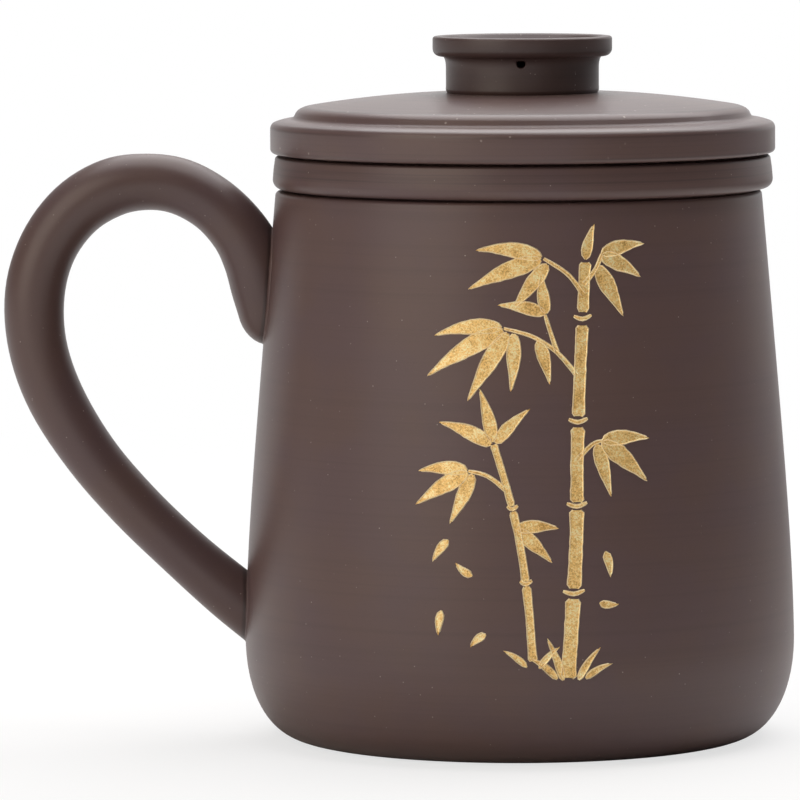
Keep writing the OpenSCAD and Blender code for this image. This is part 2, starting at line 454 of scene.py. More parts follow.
def turning_marks(shader, place, radius, z):
    """Fine and broad marks. They run round the axis: they change with radius and height
    only, but for a slow wander round the piece."""
    wander = mottle(shader, place, WANDER_SCALE, 1.0)
    lathe = shader.node(
        "ShaderNodeCombineXYZ", {}, {"X": radius, "Y": wander * MARK_WANDER, "Z": z}
    )
    fine = mottle(shader, lathe, FINE_MARK_SCALE, 3.0)
    broad = mottle(shader, lathe, BROAD_MARK_SCALE, 2.0)
    return fine, broad


def sand_grains(shader, place, radius, sandy, crumbs):
    """A few pale grains in the clay, with crumbs of it round the foot of the knob."""
    middle_distance, tint = shader.node(
        "ShaderNodeTexVoronoi", {}, {"Vector": place, "Scale": SAND_SCALE},
        out=("Distance", "Color"),
    )
    pick, paleness = shader.node(
        "ShaderNodeSeparateColor", {}, {"Color": tint}, out=("Red", "Green")
    )
    share = sandy
    if crumbs:
        share = sandy + crumbs * (1.0 - radius.soft_step(NECK_R, NECK_R + CRUMB_REACH))
    grain_size = 0.15 + 0.2 * crumbs
    return (1.0 - middle_distance.soft_step(0.05, grain_size)) * (pick < share) * paleness


def toned(colour, tone):
    """The colour made lighter or darker, with its alpha."""
    return (*(part * tone for part in colour), 1.0)


def clay(name, axis_x=0.0, marks=1.0, crease=0.0, sandy=0.12, crumbs=0.0, tone=1.0, polish=0.0):
    """Unglazed purple clay, turned and burnished. Marks is the strength of the turning marks,
    crease that of the painted shade in a dark line round a joint with the wall, sandy the
    share of places that hold a pale grain, crumbs what the foot of the knob adds to it, tone
    how light or dark this copy of the clay is made, which on the handle and the knob is
    painted shade, and polish how much of it the burnishing has made smooth."""
    material = bpy.data.materials.new(name)
    shader = Shader(material)
    place = shader.node("ShaderNodeTexCoord", out="Object")
    place = shader.node("ShaderNodeMapping", {}, {"Vector": place, "Location": (-axis_x, 0, 0)})
    x, y, z = shader.node("ShaderNodeSeparateXYZ", {}, {0: place}, out=("X", "Y", "Z"))
    radius = (x * x + y * y) ** 0.5
    fine_marks, broad_marks = turning_marks(shader, place, radius, z)
    grain = mottle(shader, place, GRAIN_SCALE, 2.0)
    flattened = shader.node("ShaderNodeMapping", {}, {"Vector": place, "Scale": (1.0, 1.0, 1.3)})
    cloud = mottle(shader, flattened, CLOUD_SCALE, 3.0)
    sand = sand_grains(shader, place, radius, sandy, crumbs)

    warm, cool, dark = (toned(colour, tone) for colour in (WARM_CLAY, COOL_CLAY, DARK_CLAY))
    colour = shader.blend(cloud.soft_step(0.35, 0.65), warm, cool)
    streaks = (fine_marks * 0.5 + broad_marks * 0.5).soft_step(0.46, 0.68)
    colour = shader.blend(streaks * (0.45 * marks), colour, dark)
    pores = grain.soft_step(0.60, 0.72)
    colour = shader.blend(pores * 0.25, colour, dark)
    colour = shader.blend(sand * 0.8, colour, PALE_SAND)
    # Painted shade: a dark line on the clay where the handle meets the wall, standing in for the
    # shadow in the crease
    if crease:
        off = (radius - wall_r(z) - CREASE_RISE).size()
        line = 1.0 - off.soft_step(CREASE_CORE, CREASE_REACH)
        colour = shader.blend(line * crease, colour, CREASE_SHADE_COLOUR)

    height = (fine_marks * 0.6 + broad_marks * 0.8) * marks + grain * 0.5 + sand * 0.3
    bump = shader.node(
        "ShaderNodeBump", {}, {"Strength": 0.25, "Distance": 0.04 * MM, "Height": height},
        out="Normal",
    )
    roughness = 0.35 + grain * 0.06 + cloud * 0.04
    surface = shader.node(
        "ShaderNodeBsdfPrincipled", {},
        {
            "Base Color": colour, "Roughness": roughness, "IOR": 1.5, "Normal": bump,
            "Coat Weight": polish, "Coat Roughness": 0.12,
        },
    )
    shader.node("ShaderNodeOutputMaterial", {}, {"Surface": surface})
    return material


# How near a place on the gold is to the edge of its stroke, kept on the mesh
EDGE_ATTRIBUTE = "edge"

# Colours of the gold from its dark flakes to its bright ones, and where they lie between
GOLD_STOPS = [
    (0.25, (0.55, 0.31, 0.085)), (0.50, (0.96, 0.62, 0.215)), (0.75, (1.00, 0.90, 0.52)),
]
# Pale gold of the painted highlight along the strokes' edges
GOLD_EDGE_HIGHLIGHT = (1.0, 0.88, 0.60, 1.0)
FLAKE_SCALE = 5000.0
SMEAR_SCALE = 450.0


def gold_paint():
    """Gold powder paint laid in the clay: grainy, and pale along its edges with a painted
    highlight.
    """
    material = bpy.data.materials.new("gold_fill")
    shader = Shader(material)
    place = shader.node("ShaderNodeTexCoord", out="Object")
    glitter = shader.node(
        "ShaderNodeTexVoronoi", {}, {"Vector": place, "Scale": FLAKE_SCALE}, out="Color"
    )
    flake = shader.node("ShaderNodeSeparateColor", {}, {"Color": glitter}, out="Red")
    smear = mottle(shader, place, SMEAR_SCALE, 4.0)
    brightness = flake * 0.33 + smear * 0.67
    colour = shader.node("ShaderNodeValToRGB", {"stops": GOLD_STOPS}, {"Fac": brightness})
    edge = shader.node("ShaderNodeAttribute", {"attribute_name": EDGE_ATTRIBUTE}, out="Fac")
    # Painted highlight: each stroke's edges are blended towards pale gold, as where they catch
    # the light
    colour = shader.blend(edge.soft_step(0.2, 1.0) * 0.6, colour, GOLD_EDGE_HIGHLIGHT)
    bump = shader.node(
        "ShaderNodeBump", {}, {"Strength": 0.5, "Distance": 0.05 * MM, "Height": brightness},
        out="Normal",
    )
    surface = shader.node(
        "ShaderNodeBsdfPrincipled", {},
        {
            "Base Color": colour, "Metallic": 0.40, "Normal": bump,
            "Roughness": 0.55 - flake * 0.2,
        },
    )
    shader.node("ShaderNodeOutputMaterial", {}, {"Surface": surface})
    return material


BODY_CLAY = clay("burnished_body_clay", marks=0.4)
# The handle's clay is toned darker as painted shade
HANDLE_CLAY = clay("hand_rolled_handle_clay", marks=0.15, crease=0.5, sandy=0.2, tone=0.88)
SLIP_CLAY = clay("pressed_slip_clay", marks=0.15, tone=0.9)
INFUSER_CLAY = clay("turned_infuser_clay", axis_x=SEAT_X, marks=1.6, tone=0.97)
LID_CLAY = clay(
    "turned_lid_clay", axis_x=SEAT_X, marks=1.5, sandy=0.06, crumbs=0.9, polish=0.10
)
# The knob's clay is toned darker as painted shade
KNOB_CLAY = clay("turned_knob_clay", axis_x=SEAT_X, sandy=0.2, tone=0.68)
GOLD = gold_paint()


# ---------------------------------------------------------------- Mug

def mug_outline():
    """Outline of the mug's wall: foot, rounded corner, side, mouth and inside."""
    corner_steps = 24
    side_steps = 50
    power = 2 / CORNER_POWER
    outline = [(BASE_R, 0.0, 0.3 * MM)]
    for i in range(corner_steps + 1):
        a = math.pi / 2 * (1 - i / corner_steps)
        r = mix(FOOT_R, BELLY_R, math.cos(a) ** power if i else 0.0)
        outline.append((r, BELLY_Z * (1 - math.sin(a) ** power), 0.0))
    side = [mix(BELLY_Z, MOUTH_Z, i / side_steps) for i in range(side_steps + 1)]
    outline += [(wall_r(z), z, 0.0) for z in side[1:-1]]
    outline.append((MOUTH_R, MOUTH_Z - JOINT_FALL, 0.5 * MM))
    outline.append((RIM_R - JOINT_DEPTH, MOUTH_Z, 0.0))
    outline.append((MOUTH_R - WALL_T, MOUTH_Z, 0.9 * MM))
    outline += [(wall_r(z) - WALL_T, z, 0.0) for z in reversed(side[:-1])]
    for i in range(1, corner_steps + 1):
        a = math.pi / 2 * i / corner_steps
        r = BASE_R + (BELLY_R - WALL_T - BASE_R) * math.cos(a)
        outline.append((r, BELLY_Z - (BELLY_Z - FLOOR_Z) * math.sin(a), 0.0))
    return outline


def make_mug():
    """The wall, and the same clay on the base slab."""
    finished("turned_wall", turned(mug_outline()), "mug", BODY_CLAY, "body_clay", "mug_wall")
    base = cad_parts["mug_base"]
    base.material_slots[0].material = BODY_CLAY


# ---------------------------------------------------------------- Handle

def proud_of_wall(point):
    """How far a point stands outside the mug's wall."""
    return math.hypot(point.x, point.y) - wall_r(point.z)


def handle_places():
    """Places of the handle's rings, from the rounded tip to the lower joint."""
    steps = 6 * (len(HANDLE_LINE) - 1)
    across = Vector((0, 1, 0))
    stations = [spline(HANDLE_LINE, i / steps) * MM for i in range(steps + 1)]
    places = []
    for i, (x, z, thick) in enumerate(stations):
        before, after = stations[max(i - 1, 0)], stations[min(i + 1, steps)]
        along = Vector((after[0] - before[0], 0, after[1] - before[1])).normalized()
        side = along.cross(across)
        middle = Vector((x, 0, z))
        if not places:
            for angle in (88, 80, 70, 60, 50, 40, 30, 20, 10):
                a = math.radians(angle)
                reach = thick * math.cos(a)
                places.append(ring_place(
                    middle - along * HANDLE_TIP * math.sin(a), side, across, along,
                    reach, reach * HANDLE_OVAL,
                ))
        places.append(ring_place(middle, side, across, along, thick, thick * HANDLE_OVAL))
    return places


def joint_lines(bm):
    """Cut the handle where it meets the wall. Returns the points of each joint's line."""
    cut = []
    for edge in bm.edges[:]:
        a, b = (proud_of_wall(v.co) for v in edge.verts)
        if a * b < 0:
            cut.append(bmesh.utils.edge_split(edge, edge.verts[0], a / (a - b))[1])
    left = set(bmesh.ops.connect_verts(bm, verts=cut)["edges"])
    lines = []
    while left:
        # A line starts upwards from its hindmost edge, so that every run gives the same points
        edge = max(left, key=lambda e: sum(v.co.y for v in e.verts))
        line = [min(edge.verts, key=lambda v: v.co.z)]
        while edge:
            left.remove(edge)
            line.append(edge.other_vert(line[-1]))
            edge = next((e for e in line[-1].link_edges if e in left), None)
        lines.append([v.co.copy() for v in line[:-1]])
    return lines


def evenly(line, count):
    """Points at even distances along a closed line."""
    loop = line + line[:1]
    lengths = [(b - a).length for a, b in zip(loop, loop[1:])]
    total = sum(lengths)
    points = []
    i, start = 0, 0.0
    for k in range(count):
        distance = total * k / count
        while start + lengths[i] < distance:
            start += lengths[i]
            i += 1
        points.append(loop[i].lerp(loop[i + 1], (distance - start) / lengths[i]))
    return points


def make_seam(name, line, fullness):
    """The thin ridge of slip that is pressed into a joint."""
    count = SEAM_RINGS
    points = evenly(line, count)
    for _ in range(SEAM_SMOOTHING):
        points = [
            (points[k - 1] + points[k] * 2 + points[(k + 1) % count]) / 4
            for k in range(count)
        ]
    centre = sum(points, Vector()) / count
    places = []
    for k, point in enumerate(points):
        along = (points[(k + 1) % count] - points[k - 1]).normalized()
        up = Vector((point.x, point.y, 0)).normalized()
        side = along.cross(up).normalized()
        if side.dot(point - centre) < 0:
            side = -side
        # Full beside the handle, and smoothed away above and below it
        lumps = 0.45 * noise.noise(point / (3 * MM))
        dents = 0.25 * noise.noise(point / (1.2 * MM))
        size = (0.10 + 0.90 * abs(side.y)) * fullness * (1 + lumps + dents) * MM
        middle = point + side * (0.15 * size) - up * (0.30 * size)
        places.append(ring_place(middle, side, up, along, 0.85 * size, 0.65 * size))
    bm = swept(places, SEAM_SIDES, True)
    finished(name, bm, "mug", SLIP_CLAY, "handle_clay")


def make_handle():
    """The rolled handle, and a seam of slip round each of its joints."""
    bm = swept(handle_places(), HANDLE_SIDES, False)
    lines = joint_lines(bm)
    # What lies deeper in the wall than it should is drawn out
    for vert in bm.verts:
        depth = -proud_of_wall(vert.co)
        if depth > HANDLE_BURIED:
            r = math.hypot(vert.co.x, vert.co.y)
            grow = (r + depth - HANDLE_BURIED) / r
            vert.co.x *= grow
            vert.co.y *= grow
    finished("rolled_handle", bm, "mug", HANDLE_CLAY, "handle_clay", "handle")
    lines.sort(key=lambda line: -max(point.z for point in line))
    make_seam("upper_slip_seam", lines[0], 0.85)
    make_seam("lower_slip_seam", lines[1], 0.60)


# ---------------------------------------------------------------- Gold bamboo

# Everything here is drawn on the wall laid flat: (round to the right, up) in millimetres,
# from the front of the mug
MAIN_CULM = [(7.2, 15.0), (8.6, 36.0), (9.0, 56.0), (10.4, 84.0)]
MAIN_NODES = (0.0, 0.235, 0.465, 0.685, 0.865, 1.0)
SIDE_CULM = [(1.4, 18.0), (0.4, 30.0), (-1.6, 42.0), (-5.0, 54.0)]
SIDE_NODES = (0.0, 0.36, 0.70, 1.0)
# Share of a stem that stays bare on each side of a joint
CULM_GAP = 0.012
TWIGS = [
    [(8.9, 65.0), (5.6, 68.8), (1.6, 71.4), (-3.2, 72.8)],
    [(5.6, 68.8), (4.4, 72.4), (3.6, 75.0)],
    [(10.0, 78.3), (7.4, 81.6), (3.4, 84.2)],
    [(10.2, 80.0), (12.2, 82.4), (13.2, 84.8)],
    [(8.8, 51.2), (11.4, 53.6), (13.2, 54.2)],
    [(-2.8, 46.2), (-6.0, 48.6), (-9.2, 49.4)],
]
# Leaves as (round, up, direction in degrees, length, width, droop)
LEAVES = [
    (-3.6, 72.9, 172, 11.5, 2.3, 30), (-3.4, 72.5, 203, 15.0, 2.8, 16),
    (-2.6, 72.0, 236, 13.0, 2.6, 6), (-1.6, 71.9, 272, 9.5, 2.1, -10),
    (2.4, 70.8, 292, 7.5, 1.9, -14), (3.6, 75.2, 158, 8.0, 1.9, 24),
    (3.8, 75.2, 102, 7.0, 1.8, -10), (3.0, 84.4, 158, 11.0, 2.3, 32),
    (2.9, 84.0, 195, 13.0, 2.6, 14), (4.0, 83.2, 230, 9.5, 2.2, 4),
    (13.2, 84.8, 24, 8.0, 2.1, -26), (13.2, 84.6, -20, 8.0, 2.3, -16),
    (12.4, 82.8, -58, 9.5, 2.5, -6), (10.4, 84.0, 82, 6.0, 1.6, -14),
    (13.2, 54.2, 12, 8.5, 2.2, -22), (13.2, 54.0, -34, 10.5, 2.7, -12),
    (12.2, 53.6, -72, 9.0, 2.1, -4), (-9.4, 49.5, 168, 8.5, 2.0, 28),
    (-9.3, 49.1, 205, 10.5, 2.4, 12), (-8.4, 48.8, 244, 9.0, 2.1, 0),
    (-5.1, 54.2, 98, 9.0, 2.0, 12), (-4.6, 54.0, 54, 8.0, 1.8, -18),
    (-5.4, 53.8, 146, 9.5, 2.2, 24), (-1.2, 40.0, 12, 7.0, 1.9, -24),
    (-1.2, 39.8, -38, 8.0, 2.1, -10),
]
FALLING_LEAVES = [
    (-12.6, 38.0, 218, 4.6, 1.3, 30), (-8.6, 32.2, 160, 3.6, 1.1, -34),
    (-13.8, 26.4, 250, 4.2, 1.2, 24), (-6.4, 22.6, 200, 3.4, 1.1, 40),
    (13.6, 36.0, -64, 4.4, 1.3, -28), (12.6, 27.6, -20, 3.4, 1.1, 30),
]
GRASS = [
    (5.4, 15.2, 128, 6.0, 1.0, 30), (6.4, 15.0, 104, 7.5, 1.1, 14),
    (9.0, 15.0, 66, 6.5, 1.0, -22), (10.2, 15.2, 42, 5.2, 0.9, -30),
    (0.4, 17.2, 132, 4.8, 0.9, 26), (2.4, 17.0, 58, 5.0, 0.9, -24),
]
GOLD_T = 0.35 * MM
GOLD_RISE = 0.05 * MM
# Strokes of a piece lie this much higher in turn, so that they don't meet where they cross
STROKE_RISE = 0.012 * MM
# Each stroke is a shallow trough: its edges stand up, on slopes this wide in millimetres
GOLD_EDGE_RISE = 0.12 * MM
GOLD_EDGE_W = 0.18
STROKE_STEP = 0.7
# Unevenness of a stroke's edges, as a share of its width, and bumps to a millimetre
EDGE_UNEVEN = 0.10
EDGE_BUMPS = 1.3


def culm_width(t):
    """A stem between two joints: full at the ends, with the brush lifted at once."""
    return (0.86 + 0.14 * (2 * t - 1) ** 4) * min(1.0, 14 * t + 0.55, 14 * (1 - t) + 0.55)


def twig_width(t):
    """A twig: thinner towards its tip."""
    return 1.0 - 0.65 * t


def leaf_width(t):
    """A pressed brush: thin stalk, broad shoulder and a long point."""
    return 0.10 * (1 - t) + math.sin(math.pi * t ** 0.62) ** 1.15


def joint_width(t):
    """A dab across a stem: widest in its middle."""
    return 0.35 + 0.65 * math.sin(math.pi * t)


def brush_stroke(bm, spine, width, profile, rise):
    """Lay one stroke of paint on the wall, along a smooth curve through flat points."""
    length = sum(math.dist(a, b) for a, b in zip(spine, spine[1:]))
    steps = max(6, round(length / STROKE_STEP))
    nearness = bm.verts.layers.float.get(EDGE_ATTRIBUTE)
    sheet = bmesh.ops.create_grid(bm, x_segments=steps, y_segments=4, size=0.5)["verts"]
    for vert in sheet:
        # Rows -2 and 2 are the stroke's edges, and rows -1 and 1 run just inside them
        t, row = vert.co.x + 0.5, round(vert.co.y * 4)
        middle = spline(spine, t)
        along = spline(spine, min(t + 0.01, 1)) - spline(spine, max(t - 0.01, 0))
        across = along.orthogonal().normalized()
        side = (row > 0) - (row < 0)
        bump = noise.noise((middle.x * EDGE_BUMPS, middle.y * EDGE_BUMPS, 5 * side + width))
        reach = profile(t) * (1 + EDGE_UNEVEN * bump) * width / 2
        edge = float(abs(row) == 2)
        raised = edge * min(1.0, reach / GOLD_EDGE_W)
        if not edge:
            reach = max(reach - GOLD_EDGE_W, reach * 0.3)
        flat = middle + across * side * reach
        vert[nearness] = edge
        r = wall_r(flat.y * MM) + rise + GOLD_EDGE_RISE * raised
        angle = flat.x * MM / r
        vert.co = (r * math.sin(angle), -r * math.cos(angle), flat.y * MM)


def leaf_spine(u, z, direction, length, droop):
    """Points along a leaf that bends by droop from root to tip."""
    points = [(u, z)]
    parts = 4
    for i in range(parts):
        a = math.radians(direction + droop * (i + 0.5) / parts)
        u += math.cos(a) * length / parts
        z += math.sin(a) * length / parts
        points.append((u, z))
    return points


def painted(name, strokes):
    """A gold piece of many strokes, each (spine, width, profile)."""
    bm = bmesh.new()
    bm.verts.layers.float.new(EDGE_ATTRIBUTE)
    for i, (spine, width, profile) in enumerate(strokes):
        brush_stroke(bm, spine, width, profile, GOLD_RISE + STROKE_RISE * (i % 4))
    bmesh.ops.remove_doubles(bm, verts=bm.verts, dist=0.01 * MM)
    bmesh.ops.solidify(bm, geom=bm.faces[:], thickness=GOLD_T)
    bmesh.ops.recalc_face_normals(bm, faces=bm.faces)
    gold = finished(name, bm, "mug", GOLD, "gold_fill")
    gold.data.set_sharp_from_angle(angle=math.radians(18))


def culm_strokes(line, nodes, low_width, high_width):
    """A jointed stem: a stroke for each length and a short curved one for each joint."""
    strokes = []
    for a, b in zip(nodes, nodes[1:]):
        low, high = a + CULM_GAP, b - CULM_GAP
        points = [tuple(spline(line, mix(low, high, i / 4))) for i in range(5)]
        strokes.append((points, mix(low_width, high_width, (a + b) / 2), culm_width))
    for t in nodes[1:-1]:
        u, z = spline(line, t)
        reach = mix(low_width, high_width, t) * 0.72
        joint = [(u - reach, z + 0.45), (u, z - 0.05), (u + reach, z + 0.55)]
        strokes.append((joint, 0.55, joint_width))
    return strokes


def make_bamboo():
    """Two jointed stems with twigs and leaves, leaves that fall, and grass at the foot."""
    painted("gold_main_culm", culm_strokes(MAIN_CULM, MAIN_NODES, 2.7, 2.0))
    painted("gold_side_culm", culm_strokes(SIDE_CULM, SIDE_NODES, 1.5, 1.1))
    painted("gold_twigs", [(twig, 0.7, twig_width) for twig in TWIGS])
    for name, leaves in (
        ("gold_leaves", LEAVES), ("gold_falling_leaves", FALLING_LEAVES), ("gold_grass", GRASS),
    ):
        painted(name, [
            (leaf_spine(u, z, direction, length, droop), width, leaf_width)
            for u, z, direction, length, width, droop in leaves
        ])


# ---------------------------------------------------------------- Infuser

def make_infuser_rim():
    """The ring that stands on the mug's mouth and carries the lid."""
    low_z = MOUTH_Z + JOINT_GAP
    outline = [
        (RIM_BORE_R, MOUTH_Z, 0.0),
        (RIM_R - JOINT_DEPTH, MOUTH_Z, 0.0),
        (RIM_R - JOINT_DEPTH + JOINT_SLOPE, low_z, 0.0),
    ]
    across, up = RIM_LOW_EDGE
    outline += curve((RIM_R - across, low_z + up), RIM_LOW_EDGE, -90, 0)
    outline += [
        (RIM_R - 0.35 * RIM_LEAN, mix(MOUTH_Z, LID_Z, 0.62), 0.0),
        (RIM_R - RIM_LEAN, LID_Z - JOINT_FALL, 0.4 * MM),
        (LID_R - JOINT_DEPTH, LID_Z, 0.0),
        (RIM_BORE_R, LID_Z, 0.9 * MM),
    ]
    bm = turned(outline, SEAT_X)
    finished("turned_infuser_rim", bm, "infuser", INFUSER_CLAY, "infuser_clay", "infuser_rim")


# The strainer is a sheet of cells, two columns of them to each hole of a row
STRAINER_COLUMNS = 2 * HOLES_ROUND
HALF_CELL = 2.75 * MM
CELL_BORDER = 1.5 * MM
# Smoothing draws the corners of an opened cell in to this share of their distance
SMOOTHING_SHARE = 0.658


def strainer_r(z):
    """Outside radius of the strainer's wall at height z, above its corner."""
    t = (z - STRAINER_CORNER_Z) / (MOUTH_Z - STRAINER_CORNER_Z)
    return mix(STRAINER_LOW_R, STRAINER_TOP_R, t)


def strainer_outline(rows):
    """Places of the sheet's rings as (radius, height), with a band of cells for each row."""
    outline = [(STRAINER_FLOOR_R, STRAINER_Z), (STRAINER_FLOOR_R + 1.0 * MM, STRAINER_Z)]
    for angle in (-75, -55, -35, -15, 0):
        a = math.radians(angle)
        outline.append((
            STRAINER_FLOOR_R + STRAINER_CORNER * math.cos(a),
            STRAINER_CORNER_Z + STRAINER_CORNER * math.sin(a),
        ))
    heights = [z + side * HALF_CELL for z in rows for side in (-1, 1)]
    heights += [mix(heights[-1], MOUTH_Z, t) for t in (0.15, 0.4, 0.7, 0.95, 1.0)]
    return outline + [(strainer_r(z), z) for z in heights]


def open_holes(bm, rows):
    """Open every other cell of each row, with the rows staggered."""
    cells = []
    for face in bm.faces:
        middle = face.calc_center_median()
        column = round(math.atan2(middle.y, middle.x) / math.tau * STRAINER_COLUMNS)
        for row, z in enumerate(rows):
            if abs(middle.z - z) < HALF_CELL / 2 and (column - row) % 2 == 0:
                cells.append(face)
    bmesh.ops.inset_individual(bm, faces=cells, thickness=CELL_BORDER)
    for face in cells:
        middle = face.calc_center_median()
        for vert in face.verts:
            vert.co = middle + (vert.co - middle).normalized() * (HOLE_R / SMOOTHING_SHARE)
    bmesh.ops.delete(bm, geom=cells, context="FACES")


def make_strainer_wall():
    """A sheet turned in wide cells, opened where the holes are, then smoothed and thickened."""
    rows = [FIRST_ROW_Z + k * HOLE_PITCH for k in range(HOLE_ROWS)]
    bm = bmesh.new()
    rings = [bm.verts.new((r, 0, z)) for r, z in strainer_outline(rows)]
    for a, b in zip(rings, rings[1:]):
        bm.edges.new((a, b))
    half_column = Matrix.Rotation(-math.pi / STRAINER_COLUMNS, 3, "Z")
    bmesh.ops.rotate(bm, verts=bm.verts, cent=(0, 0, 0), matrix=half_column)
    turn(bm, STRAINER_COLUMNS)
    open_holes(bm, rows)
    bmesh.ops.translate(bm, verts=bm.verts, vec=(SEAT_X, 0, 0))
    wall = finished(
        "pierced_strainer_wall", bm, "infuser", INFUSER_CLAY, "infuser_clay", "infuser_wall"
    )
    smooth = wall.modifiers.new("smooth", "SUBSURF")
    smooth.levels = smooth.render_levels = 2
    thick = wall.modifiers.new("thick", "SOLIDIFY")
    thick.thickness = STRAINER_T
    thick.offset = -1
    rounded = wall.modifiers.new("rounded", "BEVEL")
    rounded.width = 0.2 * MM
    rounded.segments = 2
    rounded.limit_method = "ANGLE"
    rounded.angle_limit = math.radians(50)


def make_strainer_floor():
    """A flat disc pierced in rings, drilled out of the sheet before it gets its thickness."""
    bm = bmesh.new()
    bmesh.ops.create_circle(bm, segments=TURN_STEPS, radius=STRAINER_FLOOR_R)
    for ring in range(FLOOR_RINGS + 1):
        for k in range(max(6 * ring, 1)):
            a = math.radians(60 * k / max(ring, 1))
            middle = Vector((math.cos(a), math.sin(a), 0)) * ring * HOLE_PITCH
            bmesh.ops.create_circle(
                bm, segments=HOLE_SIDES, radius=HOLE_R, matrix=Matrix.Translation(middle)
            )
    bmesh.ops.triangle_fill(bm, use_beauty=True, use_dissolve=False, edges=bm.edges)
    sheet = bm.faces[:]
    bmesh.ops.translate(bm, verts=bm.verts, vec=(SEAT_X, 0, STRAINER_Z))
    raised = bmesh.ops.extrude_face_region(bm, geom=sheet, use_keep_orig=True)["geom"]
    bmesh.ops.translate(bm, verts=verts_in(raised), vec=(0, 0, STRAINER_T))
    bmesh.ops.recalc_face_normals(bm, faces=bm.faces)
    floor = finished(
        "pierced_strainer_floor", bm, "infuser", INFUSER_CLAY, "infuser_clay", "infuser_floor"
    )
    floor.data.set_sharp_from_angle(angle=math.radians(40))


# ---------------------------------------------------------------- Lid

def make_lid_disc():
    """Edge, ledge and dome, turned in one."""
    low_z = LID_Z + JOINT_GAP
    low_edge, top_edge = LID_LOW_EDGE, LID_TOP_EDGE
    ledge_r, ledge_z = DOME_FOOT_R + 0.4 * MM, LEDGE_Z - LEDGE_FALL
    shoulder_in = SHOULDER_R - SHOULDER_W
    join_angle = math.radians(SHOULDER_TURN[1])
    join_r = shoulder_in + SHOULDER_W * math.cos(join_angle)
    shoulder_z = dome_z(join_r) - SHOULDER_H * math.sin(join_angle)
    outline = [
        (PLATE_BORE_R, LID_Z, 0.0),
        (LID_R - JOINT_DEPTH, LID_Z, 0.0),
        (LID_R - JOINT_DEPTH + JOINT_SLOPE, low_z, 0.0),
    ]
    outline += curve((LID_R - low_edge[0], low_z + low_edge[1]), low_edge, -90, 0)
    outline += curve((LID_R - top_edge[0], LID_EDGE_Z - top_edge[1]), top_edge, 0, 76)
    brim_r, brim_z, _ = outline[-1]
    outline += [
        (mix(brim_r, ledge_r, t), mix(brim_z, ledge_z, t * (1.6 - 0.6 * t)), 0.0)
        for t in (i / 8 for i in range(1, 9))
    ]
    outline += curve((ledge_r, ledge_z + COVE_H), (COVE_W, COVE_H), 270, 205, 8)[1:]
    outline += curve((shoulder_in, shoulder_z), (SHOULDER_W, SHOULDER_H), *SHOULDER_TURN, 16)
    outline += [
        (r, dome_z(r), 0.0) for r in (mix(join_r, NECK_R, i / 30) for i in range(1, 31))
    ]
    outline += [
        (NECK_BORE_R, dome_z(NECK_R), 0.0),
        (NECK_BORE_R, dome_z(NECK_BORE_R) - DOME_T, 0.0),
        (PLATE_BORE_R, LEDGE_Z, 0.0),
    ]
    finished(
        "turned_lid_disc", turned(outline, SEAT_X), "lid", LID_CLAY, "lid_clay",
        "lid_plate", "lid_dome",
    )


def make_lid_skirt():
    """The ring under the lid that keeps it in the middle of the infuser."""
    outline = [
        (SKIRT_R - SKIRT_T, LID_Z, 0.0),
        (SKIRT_R - SKIRT_T, SKIRT_Z, 0.5 * MM),
        (SKIRT_R, SKIRT_Z, 0.5 * MM),
        (SKIRT_R, LID_Z, 0.0),
    ]
    finished("turned_skirt", turned(outline, SEAT_X), "lid", LID_CLAY, "lid_clay", "lid_skirt")


def drill_bit():
    """A bit that stands in the vent, with a flare where it enters the front of the neck."""
    front = math.sqrt(NECK_R ** 2 - VENT_R ** 2)
    bm = bmesh.new()
    wire(bm, [
        (0.0, front - VENT_REACH, 0.0), (VENT_R, front - VENT_REACH, 0.0),
        (VENT_R, front - VENT_FLARE, 0.2 * MM),
        (VENT_R + 3 * VENT_FLARE, front + 2 * VENT_FLARE, 0.0),
        (0.0, front + 2 * VENT_FLARE, 0.0),
    ], False)
    turn(bm, DRILL_STEPS)
    level = Matrix.Rotation(math.radians(90), 3, "X")
    aside = Matrix.Rotation(math.radians(-VENT_TURN), 3, "Z")
    bmesh.ops.rotate(bm, verts=bm.verts, cent=(0, 0, 0), matrix=aside @ level)
    bmesh.ops.translate(bm, verts=bm.verts, vec=(SEAT_X, 0, VENT_Z))
    return added("drill", mesh_of("drill", bm))


def drill_vent(neck):
    """Cut the vent through the front of the neck, and clean the cut's tiny edges away."""
    drill = drill_bit()
    cut = neck.modifiers.new("vent", "BOOLEAN")
    cut.object = drill
    cut.solver = "EXACT"
    evaluated = neck.evaluated_get(bpy.context.evaluated_depsgraph_get())
    drilled = bpy.data.meshes.new_from_object(evaluated)
    neck.modifiers.clear()
    neck.data = drilled
    bpy.data.objects.remove(drill)
    bm = bmesh.new()
    bm.from_mesh(drilled)
    # Sorted, because the cut gives its vertices in another order on each run
    verts = sorted(bm.verts, key=lambda v: tuple(v.co))
    bmesh.ops.remove_doubles(bm, verts=verts, dist=0.01 * MM)
    bmesh.ops.dissolve_degenerate(bm, edges=bm.edges, dist=0.005 * MM)
    bm.to_mesh(drilled)
    bm.free()
    drilled.set_sharp_from_angle(angle=math.radians(35))


def make_knob_neck():
    """The hollow neck, coved under the cap, with the vent through its front."""
    outline = [
        (NECK_BORE_R, NECK_Z, 0.0),
        (NECK_R - 0.25 * MM, NECK_Z, 0.0),
        (NECK_R + 0.03 * MM, NECK_Z + 0.45 * MM, 0.25 * MM),
        (NECK_R, NECK_Z + 1.2 * MM, 0.0),
    ]
    across, up = NECK_COVE
    outline += curve((NECK_R + across, CAP_Z - up), NECK_COVE, 180, 90)
    outline.append((NECK_BORE_R, CAP_Z, 0.0))
    bm = turned(outline, SEAT_X)
    neck = finished("turned_neck", bm, "lid", KNOB_CLAY, "lid_clay", "knob_neck")
    drill_vent(neck)


